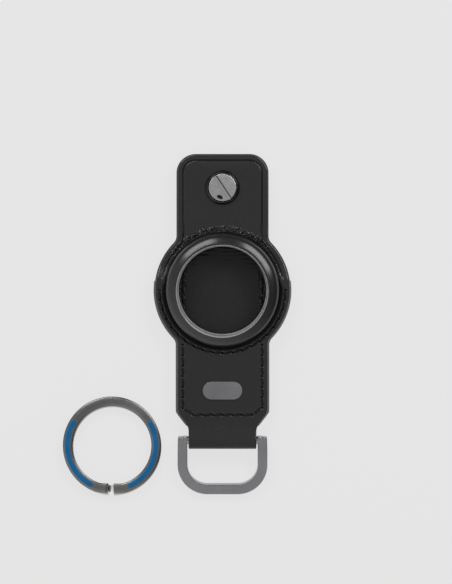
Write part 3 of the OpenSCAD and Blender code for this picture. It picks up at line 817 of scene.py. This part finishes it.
def makeBadge():
    look = {"width": 12, "height": 5.4, "thick": 0.7, "y": -30.58, "baseZ": 5.58, "rim": 0.22}
    r = look["height"] / 2
    straight = look["width"] / 2 - r
    top = look["baseZ"] + look["thick"]
    bm = bmesh.new()
    draw(bm, (0, r), [(straight, r), (straight, 0, -180, 32), (0, -r)])
    closeOutline(bm)
    plate(bm, look["baseZ"], top)
    slide(bm, (0, look["y"], 0))
    roundRims(bm, look["rim"], 4, 60, lambda e: all(v.co.z > top - 0.1 for v in e.verts))
    finishPiece("badgePlate", bm, "holder", badgeMetal, ["badge_plate"])


def makePostAndWasher():
    look = {
        "post": [(0, 0.02), (4.85, 0.02), (4.97, 0.12), (5.0, 0.3), (5.0, 0.9), (2.4, 0.9), (2.4, 4.2), (1.75, 4.2),
                 (1.75, 0.6), (0, 0.6)],
        "washer": [(5.25, 4.5), (5.26, 4.72), (5.22, 4.98), (5.12, 5.24), (4.97, 5.47), (4.79, 5.65), (4.62, 5.76),
                   (4.5, 5.8), (4.42, 5.79), (4.37, 5.73), (4.35, 5.6), (4.35, 4.87), (1.55, 4.87), (1.55, 4.5),
                   (5.25, 4.5)],
    }
    y = holder["screwY"]
    makeTurned("post", look["post"], 72, "holder", screwMetal, "post", y)
    makeTurned("cupWasher", look["washer"], 96, "washer", washerMetal, "cup_washer", y)


def makeScrew():
    look = {"section": [(0, 1.6), (1.3, 1.6), (1.45, 1.75), (1.45, 4.9), (4.15, 4.9), (4.24, 5.0), (4.24, 5.62),
                        (4.19, 5.72), (4.1, 5.79), (4.0, 5.8), (0, 5.8)], "segments": 96, "topZ": 5.8,
            "headFromZ": (5.1, 4.95), "slotTurn": -56, "slotHalf": 0.6, "slotZ": 5.25, "slotBevel": 0.1,
            "grooveWidth": 0.34, "grooveDepth": 0.34, "dent": (2.0, -2.3), "dentTurn": 0.54, "dentLong": 0.95,
            "dentShort": 0.55, "dentDepth": 0.1, "dentReach": 1.2, "dentCell": 0.16}
    half, floorZ, topZ = look["slotHalf"], look["slotZ"], look["topZ"]
    turn = radians(look["slotTurn"])
    bm = bmesh.new()
    lathe(bm, look["section"], look["segments"])
    rotate(bm, -turn, "Z")

    def atFloor(place):
        return abs(place.z - floorZ) < 0.01

    # The slot runs along X: its sides and floor are cut, its inside removed and its walls filled in
    reachZ, middleZ = look["headFromZ"]  # a face of the head reaches over the one and is centred over the other
    head = [f for f in bm.faces if max(v.co.z for v in f.verts) > reachZ and centreOf(f).z > middleZ]
    cutGrid(bm, head, [(1, -half), (1, half), (2, floorZ)])
    gone = [f for f in bm.faces if centreOf(f).z > floorZ and abs(centreOf(f).y) < half]
    bmesh.ops.delete(bm, geom=gone, context="FACES")
    for side in (-1, 1):
        ends = sorted((v for v in bm.verts if abs(v.co.y - side * half) < 0.001 and abs(v.co.z - floorZ) < 0.001),
                      key=lambda v: v.co.x)
        bm.edges.new((ends[0], ends[-1]))
    bmesh.ops.edgenet_fill(bm, edges=[e for e in bm.edges if len(e.link_faces) < 2])
    floor = [f for f in bm.faces if atFloor(centreOf(f)) and abs(centreOf(f).y) < half]
    deepest = half - look["grooveWidth"] / 2
    cutGrid(bm, floor, [(1, half - look["grooveWidth"]), (1, deepest)])
    for vert in bm.verts:  # a V-shaped groove along one side of the slot, where the cutter went deepest
        if atFloor(vert.co) and abs(vert.co.y - deepest) < 0.01:
            vert.co.z -= look["grooveDepth"]
    roundRims(bm, look["slotBevel"], 1, 60, lambda e: all(
        v.co.z > topZ - 0.05 and abs(v.co.y + half) < 0.01 for v in e.verts))

    # The dent beside the slot, with painted shade inside it
    dentX, dentY = look["dent"]
    dentShade = bm.verts.layers.float.new("paintedLight")
    bm.normal_update()
    face = [f for f in bm.faces if abs(f.normal.z) > 0.99
            and centreOf(f).z > topZ - 0.01 and centreOf(f).y < -half - 0.1]
    reach = look["dentReach"]
    cutGrid(bm, face, gridLines((dentX - reach, dentY - reach), (dentX + reach, dentY + reach), look["dentCell"]))
    along, across = cos(look["dentTurn"]), sin(look["dentTurn"])
    for vert in bm.verts:
        x, y = vert.co.x - dentX, vert.co.y - dentY
        away = hypot((x * along + y * across) / look["dentLong"], (y * along - x * across) / look["dentShort"])
        if vert.co.z > topZ - 0.01:
            vert.co.z -= look["dentDepth"] * max(0, 1 - away)
            # the inside of the dent is painted near black: painted shade
            vert[dentShade] = 1 if away < 1 else 0
    rotate(bm, turn, "Z")
    slide(bm, (0, holder["screwY"], 0))
    finishPiece("screw", bm, "screw", screwMetal, ["screw"])


def makeDRing():
    # Drawn flat about its bar, then let down by its droop
    look = {"half": 13.725, "far": 16.75, "face": 2.97, "corner": 9.15, "thick": 2.5, "droop": 9.5, "rim": 0.13,
            "shoulderY": -4, "armEnd": (0.12, 0.98), "armTop": 1.25, "barOver": 0.5}
    w, far, face, corner = look["half"], look["far"], look["face"], look["corner"]
    inside = w - face
    bm = bmesh.new()
    draw(bm, (0, -far), [(w - corner, -far), (w - corner, corner - far, 90, 24), (w, look["shoulderY"]),
                         (w - look["armEnd"][0], look["armEnd"][1]), (inside, look["armTop"]),
                         (inside, corner - far), (w - corner, corner - far, -90, 24), (0, face - far)])
    closeOutline(bm)
    plate(bm, -look["thick"] / 2, look["thick"] / 2)
    roundRims(bm, look["rim"], 1, 60)
    bar = bmesh.ops.create_cone(bm, cap_ends=True, segments=32, radius1=holder["barR"], radius2=holder["barR"],
                                depth=2 * (inside + look["barOver"]))["verts"]
    rotate(bm, pi / 2, "Y", bar)
    rotate(bm, radians(look["droop"]), "X")
    slide(bm, (0, holder["barY"], holder["barZ"]))
    finishPiece("dRing", bm, "d_ring", ringMetal, ["d_ring"])


keyRing = {
    "x": -33.9, "y": -47.6, "innerR": 12.1, "outerR": 15.0, "thick": 1.45, "rise": 1.55, "steps": 240,
    "rim": 0.24, "rimWidth": 0.34,
    # painted light over the whole lower turn, and painted shade on the upper turn's rims
    "lowerShift": (0.12, -0.45), "lowerPaintedLight": 0.5, "rimPaintedShade": -0.8,
    "gapAt": 268.7, "gapHalf": 3.7, "pinch": 0.45, "pinchOver": 16, "chamfer": 2.9, "chamferSlope": 1.05,
    "stepWidth": 3.0, "stepFoot": 0.3, "stepBevel": 0.12,
    "bandR": 13.55, "bandHalf": 0.74, "bandSink": 0.2, "bandProud": 0.05, "bandRim": 0.07,
    "bands": [("leftEnamel", "left_enamel", 148.5, 241.5), ("rightEnamel", "right_enamel", -65, 29.5)],
}


def makeTurn(bm, level, shift, upper):
    # One turn of the split ring: its section is spun from one side of the gap to the other
    k = keyRing
    a, b, t, c, slim = k["innerR"], k["outerR"], k["thick"], k["rim"], k["rimWidth"]
    turn = bmesh.new()
    paintedLight = turn.verts.layers.float.new("paintedLight")
    draw(turn, (a + slim, 0), [(b - slim, 0), (b, c), (b, t - c), (b - slim, t), (a + slim, t), (a, t - c), (a, c),
                               (a + slim, 0)])
    weld(turn)
    bmesh.ops.contextual_create(turn, geom=turn.edges[:])
    rotate(turn, pi / 2, "X")
    rotate(turn, radians(k["gapAt"] + k["gapHalf"]), "Z")
    bmesh.ops.spin(turn, geom=turn.faces[:], cent=(0, 0, 0), axis=(0, 0, 1),
                   angle=radians(360 - 2 * k["gapHalf"]), steps=k["steps"])
    fixNormals(turn)
    for vert in turn.verts:
        past = (degrees(atan2(vert.co.y, vert.co.x)) - k["gapAt"] + 180) % 360 - 180
        away = abs(past) - k["gapHalf"]
        # the lower turn is lightened all over: painted light
        if not upper:
            vert[paintedLight] = k["lowerPaintedLight"]
            continue
        if past < 0 and away < k["chamfer"] and vert.co.z > t / 2:  # the left end is cut off at a slant
            vert.co.z -= k["chamferSlope"] * b * radians(k["chamfer"] - away)
        onFace = a + slim / 2 < hypot(*vert.co.xy) < b - slim / 2
        # the upper turn's rims are darkened as painted shade, its face keeps its own colour
        vert[paintedLight] = 0 if onFace else k["rimPaintedShade"]
        inward = 1 - k["pinch"] * (1 - smoothStep(away, 0, k["pinchOver"])) / b
        vert.co.x *= inward
        vert.co.y *= inward
    slide(turn, (k["x"] + shift[0], k["y"] + shift[1], level))
    addShape(bm, turn)


def makeStep(bm):
    # The bend that joins the two turns below the gap, drawn from the side
    k = keyRing
    half = k["bandR"] * sin(radians(k["gapHalf"]))
    out, low, high = half + k["stepFoot"], k["rise"], k["rise"] + k["thick"]
    step = bmesh.new()
    draw(step, (-out, 0), [(-half, 0), (half, low), (out, low), (out, high - 0.06), (half, high - 0.1),
                           (-half + 0.5, high - 0.66), (-half + 0.1, k["thick"]), (-out, k["thick"]), (-out, 0)])
    weld(step)
    bmesh.ops.contextual_create(step, geom=step.edges[:])
    thicken(step, k["stepWidth"])
    roundRims(step, k["stepBevel"], 2, 50)
    rotate(step, pi / 2, "X")
    slide(step, (0, k["stepWidth"] / 2, 0))
    rotate(step, radians(k["gapAt"] - 270), "Z")
    middle, reach = radians(k["gapAt"]), k["bandR"] + 0.1
    slide(step, (k["x"] + reach * cos(middle), k["y"] + reach * sin(middle), 0))
    addShape(bm, step)


def makeKeyRing():
    k = keyRing
    bm = bmesh.new()
    paintedLight = bm.verts.layers.float.new("paintedLight")
    makeTurn(bm, 0, k["lowerShift"], False)
    makeTurn(bm, k["rise"], (0, 0), True)
    turns = set(bm.verts)
    makeStep(bm)
    for vert in bm.verts:  # the step gets the full painted highlight; the turns have their own shares of painted light and shade
        if vert not in turns:
            vert[paintedLight] = 1
    finishPiece("keyRing", bm, "key_ring", keyRingMetal, ["key_ring"], recalc=False)

    faceZ, r = k["rise"] + k["thick"], k["bandR"]
    for name, node, start, end in k["bands"]:
        bm = bmesh.new()
        inner = r - k["bandHalf"]
        a, b = radians(start), radians(end)
        draw(bm, (inner * cos(a), inner * sin(a)),
             [(r * cos(a), r * sin(a), 180, 10), (0, 0, end - start, 60),
              (r * cos(b), r * sin(b), 180, 10), (0, 0, start - end, 60)])
        weld(bm)
        plate(bm, faceZ - k["bandSink"], faceZ + k["bandProud"])
        roundRims(bm, k["bandRim"], 3, 60, lambda e: all(v.co.z > faceZ for v in e.verts))
        slide(bm, (k["x"], k["y"], 0))
        finishPiece(name, bm, "key_ring", blueEnamel, [node])


def stitchMesh(look):
    # One thread from hole to hole, with its stations as (along, height, share of the radius)
    half = look["length"] / 2
    stations = [(-half, -0.38, 0.6), (-half + 0.1, -0.12, 0.85), (-half + 0.4, 0.06, 1.1), (0, 0.12, 1.2),
                (half - 0.4, 0.06, 1.1), (half - 0.1, -0.12, 0.85), (half, -0.38, 0.6)]
    bm = bmesh.new()
    ring = bmesh.ops.create_circle(bm, cap_ends=True, radius=look["radius"], segments=8)["verts"]
    rotate(bm, pi / 2, "Y", ring)
    x, z, size = stations[0]
    bmesh.ops.scale(bm, vec=(1, size, size), verts=ring)
    slide(bm, (x, 0, z), ring)
    faces = bm.faces[:]
    for nextX, nextZ, nextSize in stations[1:]:
        made = bmesh.ops.extrude_face_region(bm, geom=faces)["geom"]
        verts, faces = vertsIn(made), [g for g in made if isinstance(g, bmesh.types.BMFace)]
        slide(bm, (nextX - x, 0, nextZ - z), verts)
        bmesh.ops.scale(bm, vec=(1, nextSize / size, nextSize / size), space=Matrix.Translation((0, 0, -nextZ)),
                        verts=verts)
        x, z, size = nextX, nextZ, nextSize
    fixNormals(bm)
    return toMesh(bm, "stitch")


def makeSeams():
    look = {"radius": 0.3, "length": 2.45, "slant": 9, "frontZ": 5.6, "rearZ": 0.5, "pocketZ": 2.4,
            "flangeRearZ": 1.2, "strapHalf": 13.9, "clear": 1.05}
    shape = stitchMesh(look)

    def sew(name, node, rows):
        # Repeats the stitch along rows: (places, height, whether it shows on the front)
        bm = bmesh.new()
        for places, level, up in rows:
            for x, y, turn in places:
                old = set(bm.verts)
                bm.from_mesh(shape)
                fresh = [v for v in bm.verts if v not in old]
                place = Matrix.Translation((x, y, level)) @ Matrix.Rotation(radians(turn + look["slant"]), 4, "Z")
                if not up:
                    place = place @ Matrix.Rotation(pi, 4, "X")
                bmesh.ops.transform(bm, matrix=place, verts=fresh)
        finishPiece(name, bm, "holder", threadBlack, [node], recalc=False)

    frontZ, rearZ, edge, clear = look["frontZ"], look["rearZ"], look["strapHalf"], look["clear"]
    around = roundPlaces()
    onStrap = [p for p in around if abs(p[0]) + clear < edge]
    beside = [p for p in around if abs(p[0]) - clear > edge]
    sew("pocketSeam", "pocket_seam",
        [(around, frontZ, True), (onStrap, rearZ, False), (beside, look["flangeRearZ"], False)])
    for side, word in ((-1, "left"), (1, "right")):
        sew(word + "Seam", word + "_seam", [(sidePlaces(side), frontZ, True), (sidePlaces(side), rearZ, False)])
        x = side * seam["x"]
        inPocket = rowPlaces((x, -seam["pocketY"]), (x, seam["pocketY"]))
        atRear = rowPlaces((x, seam["rearStartY"]), (x, seam["strapTopY"]))
        sew(word + "StrapSeam", word + "_strap_seam", [(inPocket, look["pocketZ"], True), (atRear, rearZ, False)])
    sew("bottomSeam", "bottom_seam", [(bottomPlaces(), frontZ, True), (bottomPlaces(), rearZ, False)])
    bpy.data.meshes.remove(shape)


def grey(level):
    return (level, level, level, 1)


def seenRays(tree):
    # Rays that see a surface or the room: the camera's, mirrored and transmitted ones
    path = addNode(tree, "LightPath")
    seen = path.outputs["Is Camera Ray"]
    for kind in ("Is Glossy Ray", "Is Transmission Ray"):
        seen = addNode(tree, "Math", {0: seen, 1: path.outputs[kind]}, operation="MAXIMUM").outputs[0]
    return path.outputs["Is Camera Ray"], seen


def makeFloor(look):
    bm = bmesh.new()
    bmesh.ops.create_grid(bm, x_segments=1, y_segments=1, size=look["floorHalf"])
    slide(bm, (0, 0, -look["floorGap"]))
    mesh = toMesh(bm, "floor")
    addObject("floor", mesh)
    material = bpy.data.materials.new("paleFloor")
    tree = emptyTree(material)
    lit = addNode(tree, "BsdfDiffuse", {"Color": grey(look["floorColour"])})
    glow = addNode(tree, "Emission", {"Color": grey(look["floorColour"]), "Strength": 1.0})
    seen = seenRays(tree)[1]
    share = addNode(tree, "Math", {0: seen, 1: look["floorGlow"]}, operation="MULTIPLY")
    mixed = addNode(tree, "MixShader", {0: share.outputs[0], 1: lit.outputs[0], 2: glow.outputs[0]})
    addNode(tree, "OutputMaterial", {"Surface": mixed.outputs[0]})
    mesh.materials.append(material)


def makeRoom(look):
    # The room lights evenly. Metal sees it darker behind the lamps, with a plain ceiling
    world = bpy.data.worlds.new("softRoom")
    scene.world = world
    tree = emptyTree(world)
    byCamera, seen = seenRays(tree)
    facing = addNode(tree, "TexCoord").outputs["Generated"]
    toward = addNode(tree, "VectorMath", {0: facing, 1: look["darkSide"]}, operation="DOT_PRODUCT").outputs["Value"]
    walls = spread(tree, toward, look["nearWall"], look["farWall"], *look["wallFade"])
    height = addNode(tree, "SeparateXYZ", {0: facing}).outputs["Z"]
    mirrored = mix(tree, spread(tree, height, 0.0, 1.0, *look["ceilingFade"]), walls, grey(look["overhead"]))
    mirrored = mix(tree, byCamera, mirrored, grey(look["floorColour"]))
    level = mix(tree, seen, grey(look["worldLight"]), mirrored)
    sky = addNode(tree, "Background", {"Color": level, "Strength": 1.0})
    addNode(tree, "OutputWorld", {"Surface": sky.outputs[0]})


def makeStudio():
    # Lengths here are in metres, and each lamp has its name, place, size and power
    look = {
        "floorHalf": 6, "floorGap": 0.00002, "floorColour": 0.791, "floorGlow": 0.9,
        "worldLight": 0.52, "overhead": 0.42, "ceilingFade": (0.6, 0.97),
        "nearWall": 1.2, "farWall": 0.04, "darkSide": (0.6, 0.8, 0), "wallFade": (-0.95, 0.3),
        "lamps": [("leftLamp", (-0.222, 0.403, 0.46), (0.33, 0.18), 1.25),
                  ("rightLamp", (0.336, 0.314, 0.46), (0.36, 0.18), 1.5)],
        "middle": (0.00107, -0.00055), "cameraHeight": 0.62, "frameHeight": 0.1781, "sharpZ": 0.0055,
    }
    makeFloor(look)
    makeRoom(look)
    for name, place, size, power in look["lamps"]:
        lamp = bpy.data.lights.new(name, "AREA")
        lamp.shape = "RECTANGLE"
        lamp.size, lamp.size_y = size
        lamp.energy = power
        lampObject = addObject(name, lamp)
        lampObject.location = place
        lampObject.rotation_euler = (-Vector(place)).to_track_quat("-Z", "Y").to_euler()

    camera = bpy.data.cameras.new("camera")
    camera.lens = 36 * (look["cameraHeight"] - look["sharpZ"]) / look["frameHeight"]  # the sensor is 36 mm
    scene.camera = addObject("camera", camera)
    scene.camera.location = (*look["middle"], look["cameraHeight"])
    print("studio made")


makeFrontLeather()
makeFlapLining()
makeEdgeFiller()
makeBackPanel()
makeRearStrap()
makeWindowRing()
makeBadge()
makePostAndWasher()
makeScrew()
makeDRing()
makeKeyRing()
makeSeams()
makeStudio()
